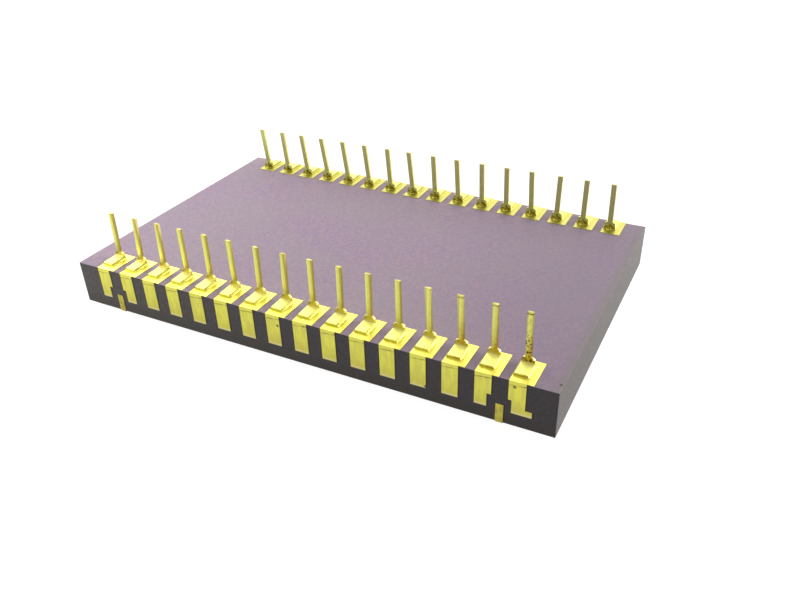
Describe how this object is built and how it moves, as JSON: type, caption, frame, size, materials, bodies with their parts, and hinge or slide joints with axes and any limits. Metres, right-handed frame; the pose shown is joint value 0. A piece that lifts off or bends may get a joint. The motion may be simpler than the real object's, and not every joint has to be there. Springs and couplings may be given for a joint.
{
  "type": "integrated circuit",
  "caption": "Ceramic integrated circuit package lying on its metal lid, with stamped gold-plated leads brazed to pads along both long edges and standing up.",
  "frame": {"origin": "middle of the lid's outer face, which the part rests on", "axes": "+X along the rows of leads, +Y from the near row, with the tie marks, to the far row, +Z the way the leads point"},
  "size_m": [0.044, 0.0272, 0.0088],
  "materials": {
    "alumina": "matte fired purple-grey alumina",
    "lead_plating": "bright gold plating on stamped alloy",
    "pad_plating": "satin gold plating on fired metallization",
    "lid_plating": "satin gold plating on rolled alloy sheet",
    "braze": "gold-plated silver-copper braze",
    "lid_solder": "gold-tin solder",
    "adhesive": "silver-filled epoxy",
    "white_alumina": "as-fired white alumina",
    "thick_film_gold": "printed gold",
    "silicon": "polished silicon",
    "capacitor_ceramic": "fired tan ceramic",
    "tin": "plated tin",
    "bond_wire": "bright drawn gold wire"
  },
  "bodies": {
    "root": {"adhesive_film": "adhesive", "capacitor_blocks": "capacitor_ceramic", "capacitor_ends": "tin", "ceramic_body": "alumina", "chip_attach": "adhesive", "conductors": "thick_film_gold", "converter_chip": "silicon", "far_braze": "braze", "far_chip_wires": "bond_wire", "far_package_wires": "bond_wire", "far_pads": "pad_plating", "far_traces": "pad_plating", "lead_01": "lead_plating", "lead_02": "lead_plating", "lead_03": "lead_plating", "lead_04": "lead_plating", "lead_05": "lead_plating", "lead_06": "lead_plating", "lead_07": "lead_plating", "lead_08": "lead_plating", "lead_09": "lead_plating", "lead_10": "lead_plating", "lead_11": "lead_plating", "lead_12": "lead_plating", "lead_13": "lead_plating", "lead_14": "lead_plating", "lead_15": "lead_plating", "lead_16": "lead_plating", "lead_17": "lead_plating", "lead_18": "lead_plating", "lead_19": "lead_plating", "lead_20": "lead_plating", "lead_21": "lead_plating", "lead_22": "lead_plating", "lead_23": "lead_plating", "lead_24": "lead_plating", "lead_25": "lead_plating", "lead_26": "lead_plating", "lead_27": "lead_plating", "lead_28": "lead_plating", "lead_29": "lead_plating", "lead_30": "lead_plating", "lead_31": "lead_plating", "lead_32": "lead_plating", "lid": "lid_plating", "logic_chip": "silicon", "near_braze": "braze", "near_chip_wires": "bond_wire", "near_package_wires": "bond_wire", "near_pads": "pad_plating", "near_traces": "pad_plating", "seal_ring": "pad_plating", "solder_preform": "lid_solder", "substrate": "white_alumina", "tie_marks": "pad_plating"}
  },
  "joints": []
}
